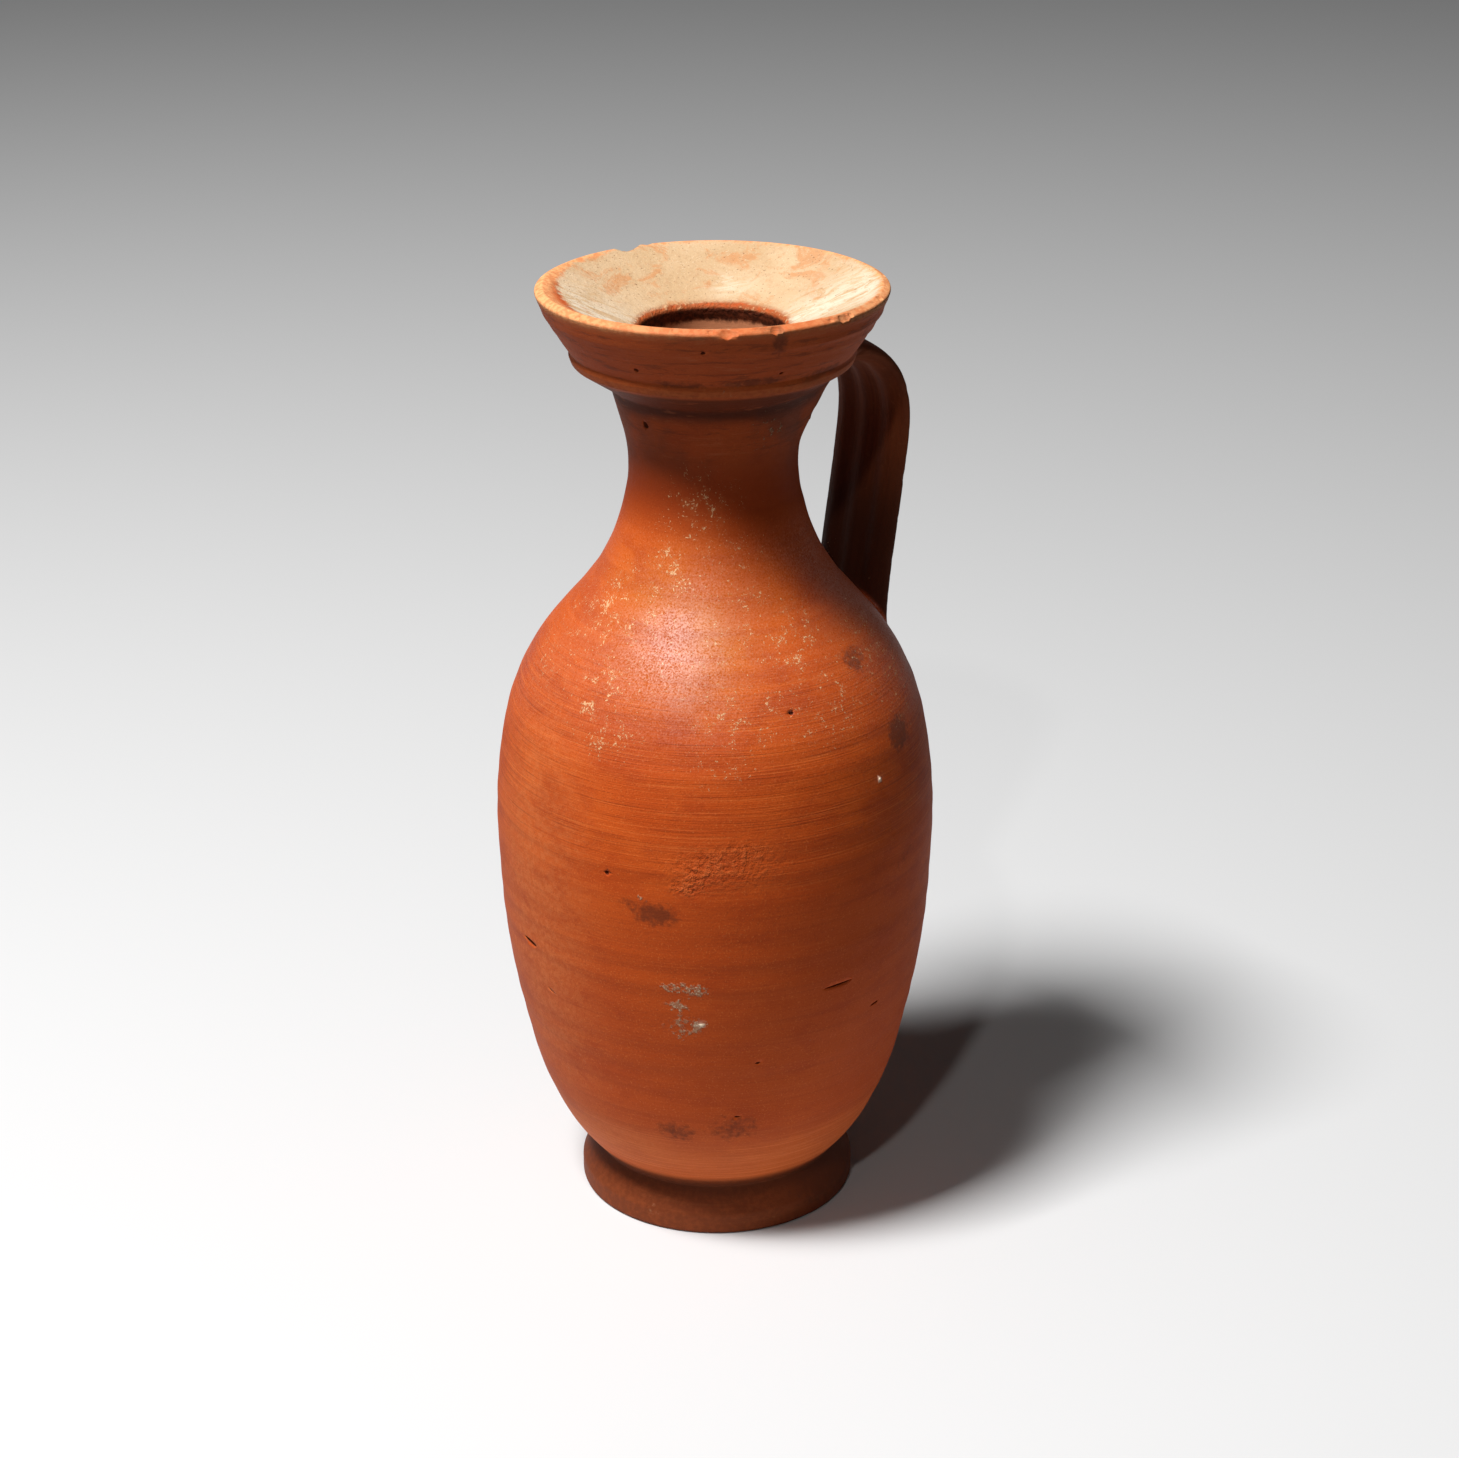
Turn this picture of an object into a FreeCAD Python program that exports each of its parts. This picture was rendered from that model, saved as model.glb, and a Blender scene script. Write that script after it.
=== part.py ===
import FreeCAD, Part
import math
import os

# Redware jug: one piece of fired clay, thrown on a wheel, with a strap handle pulled by hand.
# Millimetres. The pot is turned about +Z and stands on its ring foot, and the origin is the
# middle of the plane it stands on. The handle lies in the XZ plane, towards +X.

# Ring foot
foot_radius = 29.5
foot_height = 10.0
foot_band = 4.4
foot_waist_radius = 26.4
foot_edge_bevel = 0.9
foot_ring_width = 6.5
foot_recess = 4.0

# Belly and shoulder. The outline is drawn with straight runs between corners, and each corner
# is rounded as widely as its runs allow: the belly's corner leaves a widest radius of 45.9.
belly_corner_radius = 46.4
belly_corner_level = 94.1
belly_wall = 4.2
floor_thickness = 6.0

# Neck and throat. The neck's corner leaves 3.1 of wall at the waist. Levels of the neck, the
# mouth and the handle's top are taken down from the rim, so that they follow the height.
throat_radius = 14.2
neck_corner_wall = 2.0
neck_flare_height = 16.2
neck_top_radius = 20.4

# Dish mouth
height = 200.0
mouth_wall_height = 14.2
ledge_height = 5.7
lip_radius = 35.2
lip_round = 1.5
lip_thickness = 2.6
dish_depth = 8.6
throat_round = 1.6
ridge_radius = 28.4
ridge_round = 0.9
groove_depth = 0.5
groove_width = 1.4

# Strap handle
strap_width = 21.6
strap_thickness = 4.8
strap_edge = 2.2
# Three soft ribs run along the inner face. Places are shares of the half width, and the outer
# ribs stand out by a share of the middle one.
rib_depth = 0.8
groove_place = 0.34
outer_rib_place = 0.62
outer_rib_share = 0.9
strap_top_rise = 4.5
strap_reach = 43.1
strap_reach_drop = 16.1
strap_foot_radius = 36.8
strap_foot_rise = 15.9
top_root_width = 35.0
top_root_depth = 13.0
foot_root_width = 26.0
foot_root_depth = 3.0

# Chips knocked out of the rim. The largest leaves a hollow of this radius and depth. Each has its
# turn from the handle and lean from upright in degrees, then its shares of that radius and depth.
chip_radius = 9.0
chip_depth = 0.5
rim_chips = [(83, 15, 1, 1), (74, 35, 0.44, 0.8), (234, 75, 0.36, 1),
             (252, 50, 0.24, 0.9), (278, 55, 0.29, 0.8)]

# Rise and growth of the belly's corners, as shares of the way from the foot to the belly's corner.
belly_swell = [(0.09, 0.31), (0.24, 0.60), (0.58, 0.92)]
# Rise and fall of the shoulder's corners, as shares of the way from there to the neck's corner.
shoulder_fall = [(0.377, 0.166), (0.716, 0.834)]
# Fall and reach of the handle's arch, as shares of the way from the neck to its furthest point.
arch_bend = [(0.02, 0.28), (0.07, 0.52), (0.25, 0.75), (0.56, 0.92)]
# Fall and return of the strap, as shares of the way from there to its foot on the shoulder.
strap_fall = [(0.18, 0.10), (0.39, 0.40), (0.62, 0.74), (0.83, 0.93)]
# Places of the strap's cross sections, as shares of its length, and how far each root spreads.
section_places = [0, 0.06, 0.13, 0.21, 0.31, 0.43, 0.56, 0.70, 0.84, 0.94, 1]
top_root_share = 0.30
foot_root_share = 0.20


def at(radius, level):
    """A point of the turned outline, drawn on the side away from the handle."""
    return FreeCAD.Vector(-radius, 0, level)


def rounded(corners):
    """Straight edges through corners of (radius, level, round), with tangent arcs at the rounds."""
    edges = []
    last = at(*corners[0][:2])
    for before, corner, after in zip(corners, corners[1:], corners[2:]):
        here = at(*corner[:2])
        if corner[2] == 0:
            edges.append(Part.LineSegment(last, here).toShape())
            last = here
            continue
        back = at(*before[:2]) - here
        on = at(*after[:2]) - here
        half_angle = back.getAngle(on) / 2
        # A round stops short of the middle of either run.
        reach = min(corner[2] / math.tan(half_angle), 0.48 * back.Length, 0.48 * on.Length)
        radius = reach * math.tan(half_angle)
        back.normalize()
        on.normalize()
        middle = back + on
        middle.normalize()
        start = here + back * reach
        end = here + on * reach
        crown = here + middle * (radius / math.sin(half_angle) - radius)
        edges.append(Part.LineSegment(last, start).toShape())
        edges.append(Part.Arc(start, crown, end).toShape())
        last = end
    edges.append(Part.LineSegment(last, at(*corners[-1][:2])).toShape())
    return edges


def between(start, end, shares):
    """Places (radius, level) at shares of the way from one place to another."""
    return [(start[0] + grow * (end[0] - start[0]), start[1] + rise * (end[1] - start[1]))
            for rise, grow in shares]


ridge_level = height - mouth_wall_height
neck_top_level = ridge_level - ledge_height
neck_corner_level = neck_top_level - neck_flare_height
foot_waist = (foot_waist_radius, foot_height)
belly_corner = (belly_corner_radius, belly_corner_level)
neck_corner = (throat_radius + neck_corner_wall, neck_corner_level)
body = between(foot_waist, belly_corner, belly_swell) + [belly_corner]
body += between(belly_corner, neck_corner, shoulder_fall) + [neck_corner]
neck_top = (neck_top_radius, neck_top_level)
# More than any run has room for, so that each round is as wide as its runs allow.
widest_round = height


def inset(corners, wall):
    """The corners moved in by a wall, square to the runs on either side; the two ends are dropped."""
    moved = []
    for before, corner, after in zip(corners, corners[1:], corners[2:]):
        runs = (FreeCAD.Vector(corner[0] - before[0], corner[1] - before[1], 0),
                FreeCAD.Vector(after[0] - corner[0], after[1] - corner[1], 0))
        sides = [FreeCAD.Vector(-run.y, run.x, 0).normalize() for run in runs]
        middle = (sides[0] + sides[1]).normalize()
        middle = middle * (wall / middle.dot(sides[0]))
        moved.append((corner[0] + middle.x, corner[1] + middle.y))
    return moved


def turned(edges):
    """The solid swept by an outline that starts and ends on the axis."""
    start = edges[0].firstVertex(True).Point
    end = edges[-1].lastVertex(True).Point
    edges.append(Part.LineSegment(end, start).toShape())
    face = Part.Face(Part.Wire(edges))
    return face.revolve(FreeCAD.Vector(0, 0, 0), FreeCAD.Vector(0, 0, 1), 360)


def outside():
    """The pot's outer form, filled: ring foot, body, ledge, ridge, groove and flared mouth wall."""
    ring_inner = foot_radius - foot_ring_width
    # The mouth wall's own slope carries the ridge and the groove.
    slope = (lip_radius - ridge_radius) / (height - ridge_level)
    groove_level = ridge_level + ridge_round + groove_width / 2
    wall_start = groove_level + groove_width
    foot = [
        (0, foot_recess, 0),
        (ring_inner - foot_recess / 3, foot_recess, 0),
        (ring_inner, 0, 0),
        (foot_radius - foot_edge_bevel, 0, 0),
        (foot_radius, foot_edge_bevel, 0),
        (foot_radius, foot_band, foot_band / 2),
        (*foot_waist, 0),
    ]
    mouth = [
        (*neck_top, 0),
        (ridge_radius, ridge_level - ridge_round, ridge_round),
        (ridge_radius + slope * ridge_round, ridge_level + ridge_round, 0),
        (ridge_radius + slope * (groove_level - ridge_level) - groove_depth, groove_level, 0),
        (ridge_radius + slope * (wall_start - ridge_level), wall_start, 0),
        (lip_radius, height - lip_round, lip_round),
        (lip_radius - lip_thickness, height, lip_round),
        (0, height, 0),
    ]
    return turned(rounded(foot + [(*corner, widest_round) for corner in body] + mouth))


def inside():
    """The hollow: dish, throat, neck bore and belly, one wall in from the outside."""
    floor_level = foot_recess + floor_thickness
    wall = inset([foot_waist] + body, belly_wall)
    wall.reverse()
    # The dish's cone is carried on above the rim by its own depth.
    corners = [
        (0, height + dish_depth, 0),
        (2 * (lip_radius - lip_thickness) - throat_radius, height + dish_depth, 0),
        (throat_radius, height - dish_depth, throat_round),
        (throat_radius, neck_corner_level - 2 * belly_wall, widest_round),
    ]
    corners += [(*corner, widest_round) for corner in wall]
    corners += [(foot_waist_radius - belly_wall, floor_level, 0), (0, floor_level, 0)]
    return turned(rounded(corners))


def strap_section(place, along, width, outer_depth, inner_depth):
    """The strap's outline across one place: convex outside, thin round edges, ribs inside."""
    outward = along.cross(FreeCAD.Vector(0, 1, 0))
    side = width / 2 - strap_edge / 2
    half_edge = strap_edge / 2

    def spot(across, out):
        return place + FreeCAD.Vector(0, across, 0) + outward * out

    back = Part.Arc(spot(-side, half_edge), spot(0, outer_depth), spot(side, half_edge))
    near = Part.Arc(spot(side, half_edge), spot(width / 2, 0), spot(side, -half_edge))
    far = Part.Arc(spot(-side, -half_edge), spot(-width / 2, 0), spot(-side, half_edge))
    groove = (groove_place * side, rib_depth - inner_depth)
    outer_rib = (outer_rib_place * side, -outer_rib_share * inner_depth)
    half = [(side, -half_edge), outer_rib, groove]
    ribs = half + [(0, -inner_depth)] + [(-across, out) for across, out in reversed(half)]
    ribbed = Part.BSplineCurve()
    ribbed.interpolate([spot(across, out) for across, out in ribs])
    return Part.Wire([back.toShape(), near.toShape(), ribbed.toShape(), far.toShape()])


def handle():
    """The strap handle: pressed on under the ridge, arched over and run down to the shoulder."""
    top_level = neck_top_level + strap_top_rise
    root = (throat_radius + neck_corner_wall / 2, top_level)
    reach = (strap_reach, top_level - strap_reach_drop)
    foot = (strap_foot_radius, belly_corner_level + strap_foot_rise)
    line = [root] + between(root, reach, arch_bend) + [reach]
    line += between(reach, foot, strap_fall) + [foot]
    path = Part.BSplineCurve()
    path.interpolate([FreeCAD.Vector(out, 0, level) for out, level in line])
    length = path.length()
    sections = []
    for share in section_places:
        where = path.parameterAtDistance(share * length)
        top_root = max(0, 1 - share / top_root_share) ** 3
        foot_root = max(0, 1 - (1 - share) / foot_root_share) ** 2
        width = strap_width + top_root * (top_root_width - strap_width)
        width += foot_root * (foot_root_width - strap_width)
        depth = strap_thickness / 2 + top_root * top_root_depth + foot_root * foot_root_depth
        outer = strap_thickness / 2 + foot_root * foot_root_depth / 2
        sections.append(strap_section(path.value(where), path.tangent(where)[0], width, outer, depth))
    return Part.makeLoft(sections, True)


def chipped(pot):
    """The rim with its chips: a shallow round hollow is taken out of the lip's crown at each."""
    edge = FreeCAD.Vector(lip_radius - lip_thickness / 2, 0, height - lip_round / 2)
    for turn, lean, radius_share, depth_share in rim_chips:
        lean = math.radians(lean)
        out = FreeCAD.Vector(math.sin(lean), 0, math.cos(lean))
        radius = radius_share * chip_radius
        chip = Part.makeSphere(radius, edge + out * (radius - depth_share * chip_depth))
        chip.rotate(FreeCAD.Vector(0, 0, 0), FreeCAD.Vector(0, 0, 1), turn)
        pot = pot.cut(chip)
    return pot


jug = chipped(outside().fuse(handle()).cut(inside()))
print("valid", jug.isValid(), "solids", len(jug.Solids), "clay in cubic cm", round(jug.Volume / 1e3, 1))
os.makedirs("parts", exist_ok=True)
jug.exportStep("parts/jug.step")
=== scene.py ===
# %% [markdown]
# # A redware jug
# This jug was thrown on a wheel in red clay, given a ring foot and a wide dish mouth, and fired
# without a glaze. A strap of clay was pulled by hand, pressed on under the mouth and run down to
# the shoulder. Here the whole jug is one mesh, made from two surfaces that are worked out as
# arrays: the turned pot and the strap. They are welded, chipped and pitted, and then coloured.
# The first cell loads the solid model, and the sizes and places in the later ones repeat its own,
# apart from the finer forms of the mouth.

# %% Load the frame
import math

import bpy
import numpy as np
from mathutils import Matrix


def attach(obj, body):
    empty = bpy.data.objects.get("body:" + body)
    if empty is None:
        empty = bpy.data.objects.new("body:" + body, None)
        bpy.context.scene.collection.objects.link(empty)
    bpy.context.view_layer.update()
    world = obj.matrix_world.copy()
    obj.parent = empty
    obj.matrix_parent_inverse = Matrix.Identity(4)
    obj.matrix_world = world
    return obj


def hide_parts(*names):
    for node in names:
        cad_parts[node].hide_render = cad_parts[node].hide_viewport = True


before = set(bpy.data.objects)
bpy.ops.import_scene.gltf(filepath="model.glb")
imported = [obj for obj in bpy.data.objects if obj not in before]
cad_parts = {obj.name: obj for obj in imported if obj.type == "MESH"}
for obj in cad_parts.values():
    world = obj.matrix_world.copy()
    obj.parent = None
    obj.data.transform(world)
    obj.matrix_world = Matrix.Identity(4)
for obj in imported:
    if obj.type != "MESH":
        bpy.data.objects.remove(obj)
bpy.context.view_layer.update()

MM = 0.001

# %% [markdown]
# ## Camera
# The view comes first, because every mark on the jug is placed by how it looks from here. The
# camera was fitted to the round outlines of the lip, ridge, belly and foot. It stands a short
# way off, looks down by 22.7 degrees, and sees the handle behind and to the right.

# %% Camera
PHOTO_WIDTH = 1459
FOCAL_PIXELS = 3253.8
SENSOR = 36.0
view_turn = math.radians(-39)
view_pitch = math.radians(22.698)
view_roll = math.radians(-0.201)
view_distance = 680.7 * MM
view_target_level = 104.4 * MM
view_offset = 3.08 * MM

ahead = np.array([-math.sin(view_turn), math.cos(view_turn), 0])
right = np.array([math.cos(view_turn), math.sin(view_turn), 0])
look = math.cos(view_pitch) * ahead - np.array([0, 0, math.sin(view_pitch)])
up = np.cross(right, look)
rolled_right = math.cos(view_roll) * right + math.sin(view_roll) * up
rolled_up = math.cos(view_roll) * up - math.sin(view_roll) * right
eye = view_offset * right + np.array([0, 0, view_target_level]) - view_distance * look

camera = bpy.data.objects.new("camera", bpy.data.cameras.new("camera"))
camera.data.sensor_width = SENSOR
camera.data.sensor_fit = "HORIZONTAL"
camera.data.lens = FOCAL_PIXELS / PHOTO_WIDTH * SENSOR
camera.data.clip_start = 10 * MM
camera.matrix_world = Matrix([[*row, place] for row, place in zip(
    np.column_stack([rolled_right, rolled_up, -look]), eye)] + [[0, 0, 0, 1]])
bpy.context.scene.collection.objects.link(camera)
bpy.context.scene.camera = camera
print("camera at", np.round(eye / MM, 1), "lens", round(camera.data.lens, 2))

# %% [markdown]
# ## The pot's outline
# A potter shapes one line: the wall's section, from the middle of the foot, out and up to the
# lip, and down again through the throat to the floor inside. It is given as a few corners of
# radius and level, each rounded as widely as its straight runs allow, or by a stated radius.

# %% Rounded outline
# A round wider than its runs have room for takes this share of the shorter one.
WIDE = 200.0
ROUND_SHARE = 0.48
ARC_TURN = math.radians(12)
foot_radius = 29.5
foot_recess = 4.0
ring_width = 6.5
foot_waist = (26.4, 10.0)
belly_corner = (46.4, 94.1)
neck_corner = (16.2, 163.9)
wall = 4.2
throat_radius = 14.2
height = 200.0
dish_depth = 8.6
lip_radius = 35.2
lip_thickness = 2.6


def rounded(corners, pitch):
    """Points along straight runs between corners (radius, level, round), with tangent arcs.

    A round reaches back along both runs by its radius over the tangent of half the angle, or
    by a share of the shorter run if that is less. Arcs and runs are cut to the pitch, and arcs
    also to 12 degrees.
    """
    spots = [np.array(corners[0][:2], float)]
    for before, corner, after in zip(corners, corners[1:], corners[2:]):
        here = np.array(corner[:2], float)
        back, on = np.array(before[:2]) - here, np.array(after[:2]) - here
        half = math.acos(np.clip(back @ on / np.linalg.norm(back) / np.linalg.norm(on), -1, 1)) / 2
        room = ROUND_SHARE * min(np.linalg.norm(back), np.linalg.norm(on))
        reach = min(corner[2] / math.tan(half), room)
        if reach == 0:
            spots.append(here)
            continue
        radius = reach * math.tan(half)
        back, on = back / np.linalg.norm(back), on / np.linalg.norm(on)
        middle = (back + on) / np.linalg.norm(back + on)
        centre = here + middle * radius / math.sin(half)
        sweep = math.pi - 2 * half
        count = max(2, math.ceil(sweep / ARC_TURN), math.ceil(radius * sweep / pitch))
        turn = np.linspace(-sweep / 2, sweep / 2, count + 1)[:, None]
        across = (on - back) / np.linalg.norm(on - back)
        spots.extend(centre - radius * (np.cos(turn) * middle - np.sin(turn) * across))
    spots.append(np.array(corners[-1][:2], float))
    line = [spots[0]]
    for start, end in zip(spots, spots[1:]):
        count = max(1, math.ceil(np.linalg.norm(end - start) / pitch - 0.3))
        line.extend(start + (end - start) * share for share in np.linspace(0, 1, count + 1)[1:])
    return np.array(line)


def between(start, end, shares):
    """Corners at shares (rise, growth) of the way from one corner to another."""
    return [(start[0] + grow * (end[0] - start[0]), start[1] + rise * (end[1] - start[1]), WIDE)
            for rise, grow in shares]


def inset(corners, depth):
    """The corners moved in by a wall, along the bisector of their runs; both ends are dropped."""
    moved = []
    for before, corner, after in zip(corners, corners[1:], corners[2:]):
        runs = [np.subtract(corner[:2], before[:2]), np.subtract(after[:2], corner[:2])]
        sides = [np.array([-run[1], run[0]]) / np.linalg.norm(run) for run in runs]
        middle = (sides[0] + sides[1]) / np.linalg.norm(sides[0] + sides[1])
        moved.append((*(corner[:2] + middle * depth / (middle @ sides[0])), WIDE))
    return moved


body = (between(foot_waist, belly_corner, [(0.09, 0.31), (0.24, 0.60), (0.58, 0.92)])
        + [(*belly_corner, WIDE)]
        + between(belly_corner, neck_corner, [(0.377, 0.166), (0.716, 0.834)])
        + [(*neck_corner, WIDE)])
foot = [(0, foot_recess, 0), (foot_radius - ring_width - 1.3, foot_recess, 0.8),
        (foot_radius - ring_width, 0, 0.6), (foot_radius, 0, 0.9), (foot_radius, 4.4, 2.2),
        (*foot_waist, 0.5)]
mouth = [(20.7, 179.9, 1.2), (28.4, 184.9, 1.3), (28.9, 186.3, 0.6), (28.7, 187.3, 0.5),
         (29.8, 188.9, 1.2), (33.4, 194.9, 6), (lip_radius - 0.1, 199.3, 0.6),
         (lip_radius - 1.8, height + 0.1, 0.7)]
# The throat's edge overhangs a little, because the dish was pressed down after the bore was made.
hollow = ([(throat_radius, height - dish_depth, 1.3), (15.2, 188.4, 1.5), (throat_radius, 180, 4),
           (throat_radius, 155.5, WIDE)]
          + inset([(*foot_waist, 0)] + body, wall)[::-1] + [(21.5, 10, 3), (0, 10, 0)])

OUTLINE_PITCH = 1.05
SEEN_LEVEL = 176
outline = rounded(foot + body + mouth + hollow, OUTLINE_PITCH)
crown = int(np.argmax(outline[:, 1]))
# Below the neck's top nothing is seen of the hollow, so a third of its points is enough.
unseen = crown + int(np.argmax(outline[crown:, 1] < SEEN_LEVEL))
outline = np.vstack([outline[:unseen], outline[unseen:-1:3], outline[-1:]])
stand = int(np.flatnonzero(outline[:crown, 1] < 1e-6)[-1])
skin = outline[stand:crown + 1]
skin_run = np.gradient(skin, axis=0)
skin_out = np.column_stack([skin_run[:, 1], -skin_run[:, 0]])
skin_out /= np.linalg.norm(skin_out, axis=1)[:, None]
print("outline:", len(outline), "points, of them", len(skin), "on the outer skin")

# %% [markdown]
# ## The turned pot
# The outline is carried round the axis. A pot from a kick wheel is never quite round: finger
# ridges climb it as one slow spiral, the rim stands a little proud at the back, and the mouth's
# wall has a few soft steps, plainest on one side. All of that is a small change of the radius
# by level and turn, so it stays one formula. Two helpers then turn arrays into a closed mesh.

# %% Surfaces into meshes
COLUMNS = 200


def step(value, low, high):
    """Zero below low, one above high, and 3s^2 - 2s^3 of the share s between them."""
    share = np.clip((value - low) / (high - low), 0, 1)
    return share * share * (3 - 2 * share)


def hill(value, middle, half_width):
    """A bell: the exponential of minus the square of the distance over the half width."""
    return np.exp(-((value - middle) / half_width) ** 2)


def turn_gap(turn, middle):
    """Degrees from one turn to another, the short way round."""
    return (turn - middle + 180) % 360 - 180


def closed_grid(rows, columns):
    """Faces of a grid of rows round a loop of columns, with a pole point before and after it."""
    row, column = np.meshgrid(np.arange(rows - 1), np.arange(columns), indexing="ij")
    beside = (column + 1) % columns
    quads = np.stack([row * columns + column, row * columns + beside,
                      (row + 1) * columns + beside, (row + 1) * columns + column], axis=-1)
    around = np.arange(columns)
    first, last = rows * columns, rows * columns + 1
    start = np.stack([np.full(columns, first), (around + 1) % columns, around], axis=-1)
    end = np.stack([np.full(columns, last), (rows - 1) * columns + around,
                    (rows - 1) * columns + (around + 1) % columns], axis=-1)
    return quads.reshape(-1, 4), np.vstack([start, end])


def mesh_object(name, points, *faces):
    """A mesh object with its points, given in mm, placed in metres."""
    mesh = bpy.data.meshes.new(name)
    all_faces = [face for block in faces for face in block.tolist()]
    mesh.from_pydata((points * MM).tolist(), [], all_faces)
    mesh.update()
    made = bpy.data.objects.new(name, mesh)
    bpy.context.scene.collection.objects.link(made)
    return made


# %% The pot
SPIRAL_CLIMB = 6.4
SPIRAL_BEAT = 23
SPIRAL_DEPTH = 0.055
STEP_GAP = 2.6


def thrown(level, turn):
    """How far the potter's hands moved the wall out, in mm, at a level and a turn in degrees.

    A spiral that climbs 6.4 mm a turn, with a slower beat over it; a belly that is a little
    oval; the mouth's back, out by 0.9 mm; and soft steps, 2.6 mm apart, on the mouth's wall,
    faint all round and plain on the right.
    """
    angle = np.radians(turn)
    beat = 0.6 + 0.4 * np.cos(2 * np.pi * level / SPIRAL_BEAT)
    spiral = np.cos(2 * np.pi * level / SPIRAL_CLIMB + angle) * beat
    below_neck = step(level, 14, 30) * (1 - step(level, 150, 172))
    oval = 0.14 * np.cos(2 * angle - 0.7) * step(level, 5, 60)
    back = (0.45 + 0.45 * np.cos(np.radians(turn_gap(turn, 48)))) * step(level, 186, 198)
    side = hill(turn_gap(turn, -78), 0, 34) + 0.25
    steps = 0.24 * np.cos(2 * np.pi * (level - 190.2) / STEP_GAP) * hill(level, 193.4, 3.6) * side
    return SPIRAL_DEPTH * spiral * below_neck + oval + back + steps


turns = np.arange(COLUMNS) * 360 / COLUMNS
level = outline[1:-1, 1][:, None] + 0 * turns
radius = outline[1:-1, 0][:, None] + thrown(level, turns)
pot_points = np.stack([radius * np.cos(np.radians(turns)),
                       radius * np.sin(np.radians(turns)), level], -1)
rows = len(outline) - 2
poles = np.array([[0, 0, outline[0, 1]], [0, 0, outline[-1, 1]]])
print("pot grid:", rows, "rows of", COLUMNS)

# %% [markdown]
# ## The strap
# A handle like this is drawn out of a lump of clay with wet fingers, which leaves soft ribs
# along its inner face and thin edges. Its middle line is a smooth curve through a few places,
# and across it lies a lens-shaped section. Both ends spread where they were pressed on. Every
# fibre of this tube is then cut off a short way under the pot's skin, so that the ends close
# inside the wall and never show in the hollow.

# %% The strap's line and section
strap_root = (15.2, 184.6)
strap_reach = (43.1, 168.5)
strap_foot = (36.8, 110.0)
strap_width = 21.6
strap_thickness = 4.8
strap_edge = 2.2
rib_depth = 0.8
top_root = {"share": 0.30, "width": 35.0, "depth": 13.0, "power": 3}
foot_root = {"share": 0.20, "width": 26.0, "depth": 3.0, "power": 2}
arch_bend = [(0.02, 0.28), (0.07, 0.52), (0.25, 0.75), (0.56, 0.92)]
strap_fall = [(0.18, 0.10), (0.39, 0.40), (0.62, 0.74), (0.83, 0.93)]
STRAP_ROWS = 900
KEPT_ROWS = 150
FIBRES = 64


def spline(knots, count):
    """A natural cubic through the knots by chord length: its second slopes solve one band matrix."""
    gaps = np.linalg.norm(np.diff(knots, axis=0), axis=1)
    at = np.concatenate([[0], np.cumsum(gaps)])
    size = len(knots)
    band = np.eye(size)
    side = np.zeros((size, 2))
    inner = np.arange(1, size - 1)
    band[inner, inner - 1] = gaps[:-1]
    band[inner, inner] = 2 * (gaps[:-1] + gaps[1:])
    band[inner, inner + 1] = gaps[1:]
    slopes = np.diff(knots, axis=0) / gaps[:, None]
    side[inner] = 6 * np.diff(slopes, axis=0)
    bend = np.linalg.solve(band, side)
    where = np.linspace(0, at[-1], count)
    span = np.clip(np.searchsorted(at, where, side="right") - 1, 0, size - 2)
    on, gap = (where - at[span])[:, None], gaps[span][:, None]
    rate = slopes[span] - gap * (2 * bend[span] + bend[span + 1]) / 6
    return (knots[span] + rate * on + bend[span] * on ** 2 / 2
            + (bend[span + 1] - bend[span]) * on ** 3 / (6 * gap))


line = [strap_root, *between(strap_root, strap_reach, arch_bend), strap_reach,
        *between(strap_reach, strap_foot, strap_fall), strap_foot]
knots = np.array([corner[:2] for corner in line])
path = spline(knots, 2000)
path_length = np.concatenate([[0], np.cumsum(np.linalg.norm(np.diff(path, axis=0), axis=1))])
strap_length = path_length[-1]
print("strap length", round(strap_length, 1), "mm")


EDGE_NICKS = 46


def edge_nicks(length, angle):
    """Crumbled spots along the two edges, as a share of the half width that is lost there.

    Each nick is a bell along the strap, and only the edge itself is touched: the bell is
    multiplied by cos(angle)^12 on the nick's own side.
    """
    chance = np.random.default_rng(7)
    place = chance.uniform(14, 88, EDGE_NICKS)
    size = chance.uniform(0.3, 0.9, EDGE_NICKS)
    depth = chance.uniform(0.008, 0.035, EDGE_NICKS) * size
    side = chance.choice([-1, 1], EDGE_NICKS)
    along = np.exp(-((length[:, None] - place) / size) ** 2) * depth
    edges = np.clip(np.cos(angle)[None, :] * side[:, None], 0, 1) ** 12
    return along @ edges


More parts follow.
